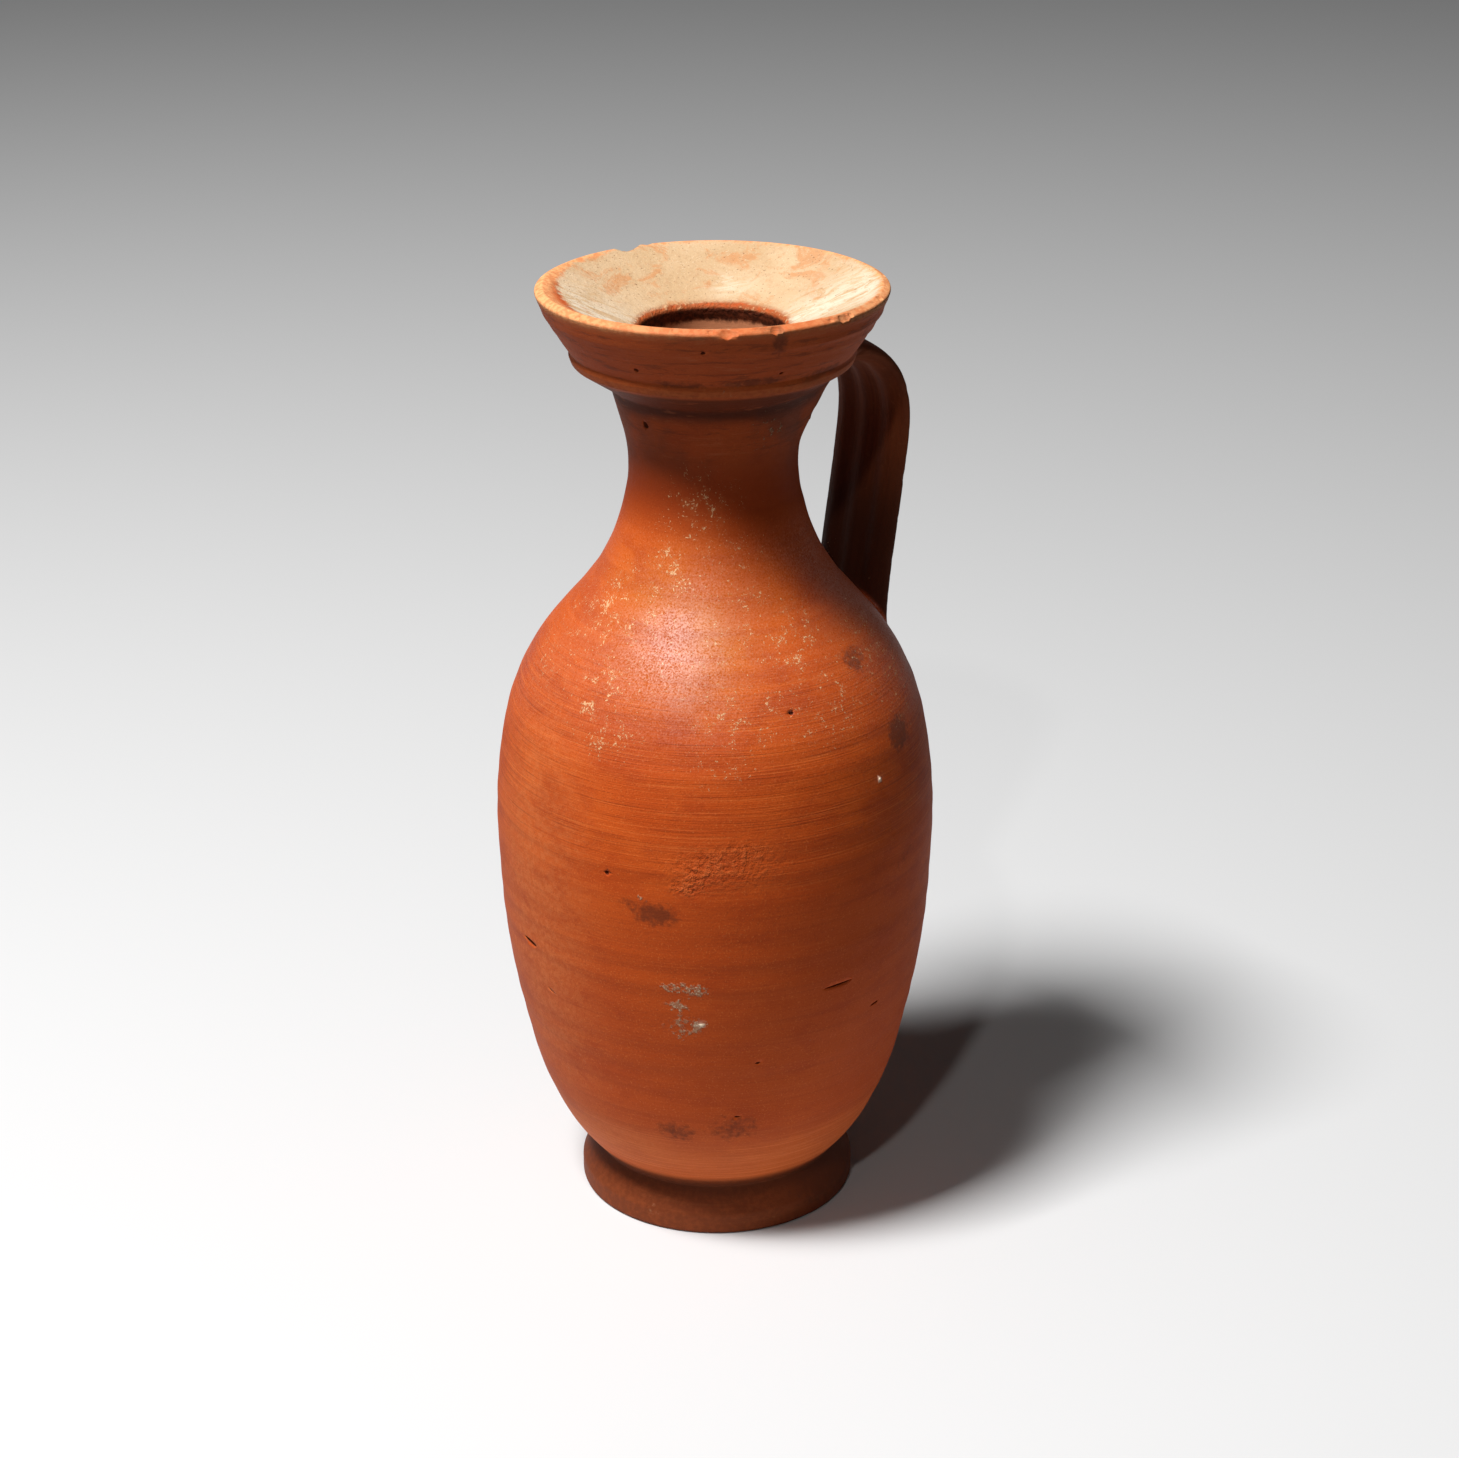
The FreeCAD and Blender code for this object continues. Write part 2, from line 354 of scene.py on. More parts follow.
def strap_surface(share, angle):
    """The tube's points at shares of the length, rows, and angles round the section, columns.

    Across is half the width times cos(angle). The outer face rises as 1 - t^2 and the inner
    one as 1 - t^4, less a ripple that leaves three ribs, and both close round the edge as the
    square root of 1 - t^16. Before share 0 the line runs on straight into the neck.
    """
    length = share * strap_length
    line = np.column_stack([np.interp(length, path_length, path[:, axis]) for axis in (0, 1)])
    line[:, 0] += np.minimum(length, 0)
    run = np.gradient(line, axis=0)
    run /= np.linalg.norm(run, axis=1)[:, None]
    outward = np.column_stack([-run[:, 1], run[:, 0]])
    top = np.clip(1 - share / top_root["share"], 0, 1) ** top_root["power"]
    low = np.clip(1 - (1 - share) / foot_root["share"], 0, 1) ** foot_root["power"]
    width = strap_width + top * (top_root["width"] - strap_width)
    width = width + low * (foot_root["width"] - strap_width)
    outer = strap_thickness / 2 + low * foot_root["depth"] / 2
    inner = strap_thickness / 2 + top * top_root["depth"] + low * foot_root["depth"]
    across = np.cos(angle)[None, :]
    close = np.sqrt(np.clip(1 - across ** 16, 0, 1))
    half_edge = strap_edge / 2
    ribs = rib_depth * (0.5 - 0.5 * np.cos(2 * np.pi * across / 0.68)) * (1 - across ** 4)
    over = half_edge + (outer[:, None] - half_edge) * (1 - across ** 2)
    under = half_edge + (inner[:, None] - half_edge) * (1 - across ** 4) - ribs
    lift = np.where(np.sin(angle)[None, :] >= 0, over, -under) * close
    side = across * width[:, None] / 2
    side = side * (1 - edge_nicks(length, angle))
    return np.stack([line[:, :1] + lift * outward[:, :1], side,
                     line[:, 1:] + lift * outward[:, 1:]], -1)


# The tube starts before its root, well inside the neck, so that there is a length to cut off.
EARLY_START = -0.07
share = np.linspace(EARLY_START, 1, STRAP_ROWS)
angle = np.arange(FIBRES) * 2 * np.pi / FIBRES
strap = strap_surface(share, angle)


# %% Depth under the pot's skin
def above_skin(points):
    """Signed distance in mm from the pot's outer skin, outside positive.

    The pot is round, so the nearest outline point in the plane of radius and level is enough,
    and the distance is taken along its outward normal.
    """
    turn = np.degrees(np.arctan2(points[..., 1], points[..., 0]))
    flat = np.stack([np.hypot(points[..., 0], points[..., 1]) - thrown(points[..., 2], turn),
                     points[..., 2]], -1)
    gap = flat[..., None, :] - skin
    near = np.argmin((gap ** 2).sum(-1), axis=-1)
    return (np.take_along_axis(gap, near[..., None, None], -2)[..., 0, :] * skin_out[near]).sum(-1)


BURY = 1.7
clear = above_skin(strap)
buried = clear < -BURY
half = STRAP_ROWS // 2
fibre = np.arange(FIBRES)
first = half - np.argmax(buried[:half][::-1], axis=0)
last = half + np.argmax(buried[half:], axis=0)
start = first - (clear[first, fibre] + BURY) / (clear[first, fibre] - clear[first - 1, fibre])
end = last - 1 + (clear[last - 1, fibre] + BURY) / (clear[last - 1, fibre] - clear[last, fibre])
row = start + (end - start) * np.linspace(0, 1, KEPT_ROWS)[:, None]
under = np.floor(row).astype(int).clip(0, STRAP_ROWS - 2)
part = (row - under)[..., None]
strap = strap[under, fibre] * (1 - part) + strap[under + 1, fibre] * part
strap_place = np.interp(row, np.arange(STRAP_ROWS), share * strap_length)
print("fibres start at row", start.min().round(1), "and end by row", end.max().round(1))

# %% [markdown]
# ## Welding the clay
# Wet clay pressed on clay makes a soft inner corner. Where the two skins come near each other
# both are drawn out by (reach - distance)^2 / (4 reach), the rule that rounds the union of two
# distance fields, so that they cross at a shallow angle. A Boolean joins them, and the points
# near the seam are then averaged with their neighbours, as a wet finger would do.

# %% Weld
def grid_normals(grid):
    """Unit normals of a grid whose columns close up: the cross product of its two slopes."""
    around = np.roll(grid, -1, axis=1) - np.roll(grid, 1, axis=1)
    normal = np.cross(around, np.gradient(grid, axis=0))
    return normal / np.maximum(np.linalg.norm(normal, axis=-1, keepdims=True), 1e-9)


def draw_out(distance, reach):
    """A quarter of (reach - distance)^2 over reach, for distances from zero to reach."""
    return np.clip(reach - np.maximum(distance, 0), 0, None) ** 2 / (4 * reach)


def weld_reach(level):
    """The web is wide under the mouth, and narrow on the shoulder and over the ridge."""
    return np.interp(level, [128, 165, 184, 189], [2.4, 4.6, 4.6, 1.4])


def nearest(points, others, block=400):
    """For each point, the index of the nearest of the others, worked out block by block."""
    found = [np.argmin(((points[at:at + block, None] - others) ** 2).sum(-1), axis=1)
             for at in range(0, len(points), block)]
    return np.concatenate(found)


def by_handle(points):
    """Whether points lie on the handle's side: near its plane, off the axis and above the belly."""
    return (points[..., 0] > 8) & (abs(points[..., 1]) < 26) & (points[..., 2] > 100)


strap_normals = grid_normals(strap)
pot_normals = grid_normals(pot_points)
strap_flat, strap_flat_normals = strap.reshape(-1, 3), strap_normals.reshape(-1, 3)
near_strap = by_handle(pot_points) & (np.arange(rows) < crown)[:, None]
close_points = pot_points[near_strap]
match = nearest(close_points, strap_flat)
gap = ((close_points - strap_flat[match]) * strap_flat_normals[match]).sum(-1)
far = np.linalg.norm(close_points - strap_flat[match], axis=1)
gap = np.where(gap > 0, far, 0)
web = draw_out(gap, weld_reach(close_points[:, 2]))
pot_points[near_strap] += pot_normals[near_strap] * web[:, None]
clear = above_skin(strap)
lift = draw_out(clear, weld_reach(strap[..., 2])) * step(clear, -1.6, -0.2)
strap = strap + strap_normals * lift[..., None]


def join(body_object, other, operation):
    """One Boolean, applied, after which the other object is gone."""
    cut = body_object.modifiers.new("join", "BOOLEAN")
    cut.operation = operation
    cut.solver = "MANIFOLD"
    cut.object = other
    view = bpy.context.evaluated_depsgraph_get()
    mesh = bpy.data.meshes.new_from_object(body_object.evaluated_get(view))
    body_object.modifiers.clear()
    body_object.data = mesh
    bpy.data.objects.remove(other)
    return len(mesh.vertices)


jug = mesh_object("fired_jug", np.vstack([pot_points.reshape(-1, 3), poles]),
                  *closed_grid(rows, COLUMNS))
strap_poles = np.array([strap[0].mean(axis=0), strap[-1].mean(axis=0)])
tube = mesh_object("strap", np.vstack([strap.reshape(-1, 3), strap_poles]),
                   *closed_grid(KEPT_ROWS, FIBRES))
print("welded:", join(jug, tube, "UNION"), "points")


def mesh_points(mesh):
    """A mesh's points in mm, as an array."""
    flat = np.empty(len(mesh.vertices) * 3)
    mesh.vertices.foreach_get("co", flat)
    return flat.reshape(-1, 3) / MM


def mesh_edges(mesh):
    """A mesh's edges, as pairs of point numbers."""
    flat = np.empty(len(mesh.edges) * 2, dtype=np.int32)
    mesh.edges.foreach_get("vertices", flat)
    return flat.reshape(-1, 2)


def soften(points, edges, weight, rounds):
    """Moves each point towards the mean of its neighbours by its weight, a few rounds over."""
    for _ in range(rounds):
        total, count = np.zeros_like(points), np.zeros(len(points))
        np.add.at(total, edges[:, 0], points[edges[:, 1]])
        np.add.at(total, edges[:, 1], points[edges[:, 0]])
        np.add.at(count, edges.ravel(), 1)
        points = points + weight[:, None] * (total / np.maximum(count, 1)[:, None] - points)
    return points


SOFT_WEIGHT = 0.6
SOFT_ROUNDS = 14
points = mesh_points(jug.data)
edges = mesh_edges(jug.data)
strap_flat = strap.reshape(-1, 3)
strap_flat_normals = grid_normals(strap).reshape(-1, 3)
around = by_handle(points) & (points[:, 2] < 192)
around &= np.hypot(points[:, 0], points[:, 1]) > throat_radius + 1.2
clear = above_skin(points)
seam = np.flatnonzero(around & (clear > -1))
match = nearest(points[seam], strap_flat)
from_strap = abs(((points[seam] - strap_flat[match]) * strap_flat_normals[match]).sum(-1))
from_strap = np.maximum(from_strap, np.linalg.norm(points[seam] - strap_flat[match], axis=1) - 1)
soft = np.zeros(len(points))
soft[seam] = (1 - step(abs(clear[seam]), 0.8, 2.6)) * (1 - step(from_strap, 0.8, 2.6))
points = soften(points, edges, SOFT_WEIGHT * soft, SOFT_ROUNDS)
jug.data.vertices.foreach_set("co", (points * MM).ravel())
jug.data.update()
print("seam points:", int((soft > 0.3).sum()))

# %% [markdown]
# ## Chips, pits and slits
# The rim lost a few flakes in use, and the clay has burnt-out grits and drag marks. Each is cut
# out of the mesh, so it keeps a crisp edge from any side: a chip is a shallow bite of a large
# round, as clay breaks, and a pit or slit is a small rough lump pressed into the skin.

# %% Cutters
def ball(detail):
    """A closed unit ball from a cube's grid, each point divided by its length."""
    share = np.linspace(-1, 1, detail + 1)
    a, b = np.meshgrid(share, share, indexing="ij")
    one = np.ones_like(a)
    sides = [(a, b, one), (b, a, -one), (one, a, b), (-one, b, a), (b, one, a), (a, -one, b)]
    points = np.concatenate([np.stack(side, -1).reshape(-1, 3) for side in sides])
    i, j = np.meshgrid(np.arange(detail), np.arange(detail), indexing="ij")
    corner = (i * (detail + 1) + j).ravel()
    quad = np.stack([corner, corner + detail + 1, corner + detail + 2, corner + 1], -1)
    faces = np.concatenate([quad + side * (detail + 1) ** 2 for side in range(6)])
    points, same = np.unique(np.round(points, 6), axis=0, return_inverse=True)
    return points / np.linalg.norm(points, axis=1)[:, None], same.ravel()[faces]


def on_skin(turn, level):
    """A place on the outer skin, with its directions: along the turn, up the wall and outward."""
    near = int(np.argmin(abs(skin[:, 1] - level)))
    angle = math.radians(turn)
    radius = np.interp(level, skin[:, 1], skin[:, 0]) + thrown(level, turn)
    round_way = np.array([-math.sin(angle), math.cos(angle), 0])
    out = np.array([math.cos(angle) * skin_out[near, 0], math.sin(angle) * skin_out[near, 0],
                    skin_out[near, 1]])
    spot = np.array([radius * math.cos(angle), radius * math.sin(angle), level])
    return spot, round_way, np.cross(out, round_way), out


LUMP_DETAIL = 6
BITE_DETAIL = 14
SMALL_BITE_DETAIL = 7


def lumps(places, seed):
    """One object of rough balls at (turn, level, half length, half height, depth, tilt).

    Tilt, in degrees, turns the long side up from the level line. Each ball's points are moved
    along their own radius by three slow waves of chance, up to a quarter of it.
    """
    chance = np.random.default_rng(seed)
    unit, faces = ball(LUMP_DETAIL)
    points, blocks = [], []
    for number, (turn, level, long, high, depth, tilt) in enumerate(places):
        middle, round_way, rise, out = on_skin(turn, level)
        lean = math.radians(tilt)
        along = math.cos(lean) * round_way + math.sin(lean) * rise
        across = math.cos(lean) * rise - math.sin(lean) * round_way
        waves = chance.uniform(-3, 3, (3, 3))
        rough = 1 + 0.09 * np.sin(unit @ waves + chance.uniform(0, 6, 3)).sum(axis=1)
        shape = unit * rough[:, None] * [long, high, depth]
        points.append(middle + shape @ np.array([along, across, out]))
        blocks.append(faces + number * len(unit))
    return mesh_object("lumps", np.vstack(points), np.vstack(blocks))


# %% Chip the rim
# Turn and lean of each chip, in degrees, then the radius of its bite and the depth, in mm.
large_chips = [(83, 15, 9, 0.55), (236, 60, 3.2, 0.30), (252, 50, 2.0, 0.30), (278, 55, 2.4, 0.30)]
beside_the_first = [(74, 35, 4, 0.4)]
chance = np.random.default_rng(11)
small_chips = [(24 * number + chance.uniform(-10, 10), chance.uniform(10, 50),
                chance.uniform(0.5, 1.5), chance.uniform(0.06, 0.18)) for number in range(15)]


def bites(places, detail):
    """One object of rounds set into the lip's crown, each lightly rippled."""
    unit, faces = ball(detail)
    points, blocks = [], []
    for number, (turn, lean, size, depth) in enumerate(places):
        lean, spin = math.radians(lean), math.radians(turn)
        crown_point = np.array([lip_radius - 0.95 + thrown(height, turn), 0, height - 0.5])
        middle = crown_point + np.array([math.sin(lean), 0, math.cos(lean)]) * (size - depth)
        bite = unit * (size * (1 + 0.05 * np.sin(unit @ [9, 7, 8] + number)))[:, None] + middle
        points.append(bite @ np.array([[math.cos(spin), math.sin(spin), 0],
                                       [-math.sin(spin), math.cos(spin), 0], [0, 0, 1]]))
        blocks.append(faces + number * len(unit))
    return mesh_object("bites", np.vstack(points), np.vstack(blocks))


# The chip beside the first overlaps it, so it has a cut of its own. The small ones are coarser.
join(jug, bites(large_chips, BITE_DETAIL), "DIFFERENCE")
join(jug, bites(beside_the_first, BITE_DETAIL), "DIFFERENCE")
join(jug, bites(small_chips, SMALL_BITE_DETAIL), "DIFFERENCE")
print("chipped:", len(jug.data.vertices), "points")

# %% Pits and slits
# Turn and level, half length, half height and depth in mm, and tilt from level in degrees.
pits = [(-171.3, 175.2, 0.75, 0.75, 0.7, 0), (-157.1, 190.2, 0.5, 0.4, 0.4, 0),
        (-131.9, 195.4, 0.45, 0.45, 0.4, 0), (-103.0, 189.5, 0.4, 0.3, 0.3, 0),
        (-105.6, 122.5, 0.55, 0.4, 0.5, -20), (-156.9, 90.5, 0.5, 0.5, 0.5, 0),
        (-117.2, 47.8, 0.5, 0.3, 0.4, 0), (-122.6, 33.9, 0.55, 0.25, 0.4, 0),
        (173.4, 67.0, 2.7, 0.55, 1.1, -5), (-94.6, 63.4, 3.9, 0.25, 0.7, 2),
        (-79.6, 54.7, 1.2, 0.25, 0.5, 8), (-179.3, 57.8, 1.2, 0.22, 0.35, -20),
        (20, 60, 2.2, 0.35, 0.5, 6), (64, 88, 0.6, 0.5, 0.5, 0), (110, 45, 2.4, 0.3, 0.5, -10),
        (140, 150, 0.5, 0.4, 0.4, 0), (-20, 96, 0.55, 0.5, 0.5, 0), (95, 128, 0.6, 0.4, 0.4, 0),
        (-45, 40, 0.9, 0.3, 0.4, 12)]
print("pitted:", join(jug, lumps(pits, 3), "DIFFERENCE"), "points")
specks = [(-80.1, 105.5, 0.26, 0.22, 0.2, 0), (-132.8, 57.9, 0.22, 0.42, 0.12, 60)]
print("with lime grains:", join(jug, lumps(specks, 5), "UNION"), "points")

# %% [markdown]
# ## Marks on the skin
# Dirt, lime and stains have soft edges and follow places on this one jug, so they are painted
# on the points: each is a bell over turn and level. Some of these values also carry painted
# shade, sheen, highlight or rim light, where noted. What is crisp in them comes later from the
# material's noise, which the painted value only lets through.

# %% Paint the points
points = mesh_points(jug.data)
turn = np.degrees(np.arctan2(points[:, 1], points[:, 0]))
level = points[:, 2]
radius = np.hypot(points[:, 0], points[:, 1])
skin_gap = above_skin(points)


def patches(places):
    """The highest of a few bells: (turn, level, half length mm, half height mm, strength)."""
    total = np.zeros(len(points))
    for middle, middle_level, long, high, strength in places:
        across = np.radians(turn_gap(turn, middle)) * radius / long
        rise = (level - middle_level) / high
        total = np.maximum(total, strength * np.exp(-(across ** 2 + rise ** 2) ** 1.5))
    return total


def paint(name, values):
    """A number for each point, which the material reads by its name."""
    jug.data.attributes.new(name, "FLOAT", "POINT").data.foreach_set("value", np.clip(values, 0, 1))
    print("painted", name, "mean", round(float(values.mean()), 4))


outside = (skin_gap > -1.3) & (radius > 15.6)
even_radius = radius - thrown(level, turn)
cone_level = height - dish_depth + dish_depth * (even_radius - throat_radius) / (
    lip_radius - lip_thickness - throat_radius)
# The lime stops short of the lip, by most on the left.
lime_end = 33.2 - 3.4 * hill(turn_gap(turn, 156), 0, 34)
in_dish = (1 - step(abs(level - cone_level), 0.5, 1.5)) * step(even_radius, 14.4, 15.8)
in_dish = in_dish * (1 - step(even_radius, lime_end - 2.0, lime_end + 1.6))
deep = outside & (skin_gap < -0.1) & (level > 5) & (level < 197)
near_wall = step(skin_gap, 0.5, 1.7) * (points[:, 0] > 8) * (level < 190)
paint("dish", in_dish)
# The throat and the inside are marked for painted shade.
throat = step(cone_level - level, 0.3, 0.9) * (even_radius < 17) * (level > 178)
paint("hollow", np.maximum(throat, (skin_gap < -2.4) & (level <= 178)))
paint("collar", hill(even_radius, 14.9, 0.8) * (abs(level - cone_level) < 2) * (level < 194))
# Points cut under the skin are marked for painted shade.
paint("shaded_pit", deep.astype(float))
paint("strap", near_wall)
paint("stain_and_shade", outside * patches([
    (-143.5, 82.8, 6, 3.2, 1), (-150, 84.5, 4, 2, 0.7), (-67.8, 112.0, 5, 4, 1),
    (-75.1, 128.2, 4, 2.8, 0.8),
    (-141.1, 29.6, 6, 3.6, 0.72), (-124.6, 31.2, 7, 5, 0.7), (-106.7, 197.0, 2.0, 3.8, 1),
    (-112, 188, 9, 1.2, 0.8), (-140, 187.6, 7, 1, 0.7), (-80, 187.6, 8, 1.2, 0.8),
    (-60, 194, 6, 3, 0.6),
    (-88, 186.5, 4, 1.6, 0.8), (-70, 86, 7, 3, 0.5), (-139, 70, 4, 3, 0.35), (-66, 70, 8, 4, 0.4),
    (30, 76, 9, 5, 0.5), (120, 60, 7, 6, 0.5), (80, 110, 8, 4, 0.4), (150, 30, 7, 4, 0.4),
    # The patch at the foot's right is painted shade.
    (-62, 7, 22, 8, 0.85)]))
paint("crust", outside * patches([
    (-137.8, 66.6, 6, 1.6, 0.9), (-133.8, 66.0, 3, 2, 1), (-139.0, 62.4, 3.4, 1.6, 1),
    (-137.0, 57.4, 6, 4.4, 0.72), (-132.8, 57.9, 1.2, 1.8, 1), (-147.9, 86.2, 1.5, 1.0, 1),
    (-89.5, 176, 7, 5, 0.50), (-96, 172, 8, 3, 0.36), (-124, 185.6, 5, 0.8, 0.6),
    (-104, 185.4, 4, 0.8, 0.5),
    (70, 70, 5, 3, 0.7), (130, 100, 4, 2, 0.6), (-15, 40, 4, 3, 0.6)]))
paint("speck", outside * patches([(place, where, 0.5, 0.5, 1) for place, where, *_ in specks]))
# Lime bloom in crumbs; the patch at turn -134, level 134 puts cream flecks where the gloss is
# brightest, as painted sheen.
paint("lime_and_sheen", outside * patches([
    (-166, 124, 8, 7, 0.95), (-160, 117, 7, 4, 0.9), (164, 132, 8, 10, 0.7), (-178, 138, 6, 7, 0.95),
    (-160, 137, 8, 5, 0.8), (-152, 147, 7, 7, 0.85), (-137, 160, 7, 7, 0.6), (-143, 152, 9, 5, 0.6),
    (-118, 150, 9, 4, 0.5), (-118, 140, 6, 5, 0.55), (-107, 137, 7, 7, 0.7), (-97, 134, 8, 7, 0.95),
    (-122, 122, 8, 5, 0.85), (-128, 114, 7, 4, 0.6), (-95, 119, 8, 4, 0.8), (-106, 124, 6, 4, 0.6),
    (-86, 126, 7, 9, 0.55), (-134, 134, 13, 9, 0.5), (-60, 125, 10, 12, 0.6), (30, 130, 14, 10, 0.7),
    (90, 122, 16, 12, 0.8), (125, 110, 12, 8, 0.6), (-20, 110, 12, 8, 0.5), (60, 155, 8, 8, 0.6)]))
paint("scar", outside * patches([
    (-127, 93.5, 11, 4, 0.4), (-135.4, 89.6, 3.2, 1.8, 1), (-132.6, 92.2, 3.2, 2, 0.9),
    (-129.4, 94.8, 3.2, 2, 0.8), (-122, 96.2, 6, 2.4, 0.55)]))
# The strong patch, where the shoulder's gloss is brightest, is painted sheen colour; the weak one on
# the far side tints the clay.
paint("ochre_and_sheen", outside * patches([(-145, 136, 17, 14, 1), (60, 128, 30, 14, 0.3)]))
# Paler clay down the belly's left side and low on the left is painted rim light; the patch on the far
# side is dust.
paint("dust_and_rim_light", outside * patches([
    (176, 78, 16, 52, 0.8), (20, 60, 20, 30, 0.5), (-178, 22, 20, 7, 0.6)]))
rim_wear = step(level, 197.4, 199.2) * step(radius, 30.5, 33)
rim_wear = rim_wear * (1 - 0.75 * hill(turn_gap(turn, -116), 0, 50))
# The pale line along the ridge's edge is a painted highlight; the pale lip crown is wear.
ridge_highlight = hill(level, 185.6, 1.1) * step(radius, 26.5, 28)
paint("wear_and_highlight", np.maximum(rim_wear, 0.8 * ridge_highlight))
white_dish = (hill(turn_gap(turn, 160), 0, 32) + 0.95 * hill(turn_gap(turn, -38), 0, 26)
              + 0.6 * hill(turn_gap(turn, 42), 0, 12) * hill(radius, 20.7, 3.5))
paint("white", in_dish * white_dish)

# Places along the strap and across it are painted as shares of these spans, in mm.
ALONG_SPAN, ACROSS_SPAN = 100, 40
handle_points = np.flatnonzero(near_wall > 0)
match = nearest(points[handle_points], strap_flat)
along, across = np.zeros(len(points)), np.zeros(len(points))
along[handle_points] = strap_place.ravel()[match] / ALONG_SPAN
across[handle_points] = (points[handle_points, 1] + ACROSS_SPAN / 2) / ACROSS_SPAN
paint("along", along)
paint("across", across)

# %% [markdown]
# ## Writing a material as sums
# A material is a graph of nodes, but its maths reads best as plain expressions. Field wraps one
# socket and gives it the usual operators, each of which adds a Math node. Every other node is
# made by add, which sets the node's own choices first and then its sockets.

# %% Fields and nodes
class Field:
    """A number that varies over the clay. Operators on it add Math nodes."""

    def __init__(self, socket):
        self.socket = socket

    def __add__(self, other):
        return add("ShaderNodeMath", {"operation": "ADD"}, [self, other])

    def __sub__(self, other):
        return add("ShaderNodeMath", {"operation": "SUBTRACT"}, [self, other])

    def __rsub__(self, other):
        return add("ShaderNodeMath", {"operation": "SUBTRACT"}, [other, self])

    def __mul__(self, other):
        return add("ShaderNodeMath", {"operation": "MULTIPLY"}, [self, other])

    __radd__ = __add__
    __rmul__ = __mul__


material = bpy.data.materials.new("fired_red_clay")
material.use_nodes = True
tree = material.node_tree
tree.nodes.clear()


def add(kind, choices, values, output=0):
    """Makes a node of a kind, sets its choices, then fills its sockets by number or by name."""
    made = tree.nodes.new(kind)
    for name, choice in choices.items():
        setattr(made, name, choice)
    for key, value in (values.items() if isinstance(values, dict) else enumerate(values)):
        if isinstance(value, Field):
            tree.links.new(value.socket, made.inputs[key])
        elif value is not None:
            made.inputs[key].default_value = value
    return Field(made.outputs[output]) if made.outputs else made


def ease(value, low, high):
    """From zero to one as the value goes from low to high, smooth at both ends."""
    return add("ShaderNodeMapRange", {"interpolation_type": "SMOOTHSTEP"}, [value, low, high])


def limit(value):
    """The value held between zero and one."""
    return add("ShaderNodeMath", {"operation": "ADD", "use_clamp": True}, [value, 0.0])


def larger(first, second):
    """The larger of two fields."""
    return add("ShaderNodeMath", {"operation": "MAXIMUM"}, [first, second])


def blend(share, first, second):
    """From the first colour to the second by a share."""
    return add("ShaderNodeMix", {"data_type": "RGBA"}, {0: share, 6: first, 7: second}, 2)


def washed(clay, *washes):
    """The clay under thin washes, one laid over another: each is a share and a colour."""
    for share, colour in washes:
        clay = blend(share, clay, colour)
    return clay


def scaled(place, x, y, z):
    """A place with each axis multiplied, which draws a pattern out along the smallest one."""
    return add("ShaderNodeVectorMath", {"operation": "MULTIPLY"}, [place, (x, y, z)])


def noise(place, size, detail, rough, drift=0.0):
    """Noise between zero and one, about one half, with blots of roughly a size in mm."""
    return add("ShaderNodeTexNoise", {}, {"Vector": place, "Scale": 1 / size, "Detail": detail,
                                          "Roughness": rough, "Distortion": drift})


def painted(name):
    """A value painted on the points."""
    return add("ShaderNodeAttribute", {"attribute_name": name}, {}, 2)


def tone(red, green, blue):
    """A colour given as display values from 0 to 255, as the linear colour that Blender wants."""
    parts = [value / 255 for value in (red, green, blue)]
    return (*(part / 12.92 if part < 0.04045 else ((part + 0.055) / 1.055) ** 2.4 for part in parts), 1)


# %% [markdown]
# ## The clay
# Red earthenware takes its colour from iron. On the wheel a wet hand and a rib dragged fine
# sand round it, which shows as hair lines, light and dark, that run level for long stretches.
# Long burial left cream lime: in crumbs on the shoulder, in a few crusts, and as a bloom all
# over the dish. The shoulder is a little polished, so a broad soft gloss lies over it, broken up
# by the sand.

# %% Patterns on the clay
coordinates = add("ShaderNodeTexCoord", {}, {}, 3)
place = add("ShaderNodeVectorMath", {"operation": "SCALE"}, {0: coordinates, 3: 1 / MM})
level_field = add("ShaderNodeSeparateXYZ", {}, [place], 2)
dish, shaded_hollow, shaded_pit = painted("dish"), painted("hollow"), painted("shaded_pit")
strap_part = painted("strap")
along_strap = add("ShaderNodeCombineXYZ", {}, [painted("along") * 8, painted("across") * 60, 0.0])


def zone(start, full, fade, end):
    """One between two levels: it grows from start to full and goes again from fade to end."""
    return ease(level_field, start, full) * ease(level_field, end, fade)


sand = noise(place, 0.36, 2, 0.6)
crumb = noise(place, 1.3, 4, 0.62)
cloud = noise(place, 14, 3, 0.55)
haze = noise(place, 42, 2, 0.5)
blot = noise(scaled(place, 0.5, 0.5, 1), 7, 4, 0.62, 0.4)
hair = noise(scaled(place, 0.04, 0.04, 4.6), 1, 4, 0.7, 0.08)
band = noise(scaled(place, 0.015, 0.015, 0.55), 1, 3, 0.55, 0.12)
smear = noise(scaled(place, 0.10, 0.10, 0.8), 1, 4, 0.7, 0.4)
pulled = noise(along_strap, 2.6, 3, 0.6)
wheel_zone = zone(14, 30, 122, 136) * (0.25 + 0.75 * ease(level_field, 84, 98))
dark_hair = ease(hair, 0.54, 0.66) * wheel_zone
pale_hair = ease(hair, 0.45, 0.34) * wheel_zone
print("patterns:", len(tree.nodes), "nodes")

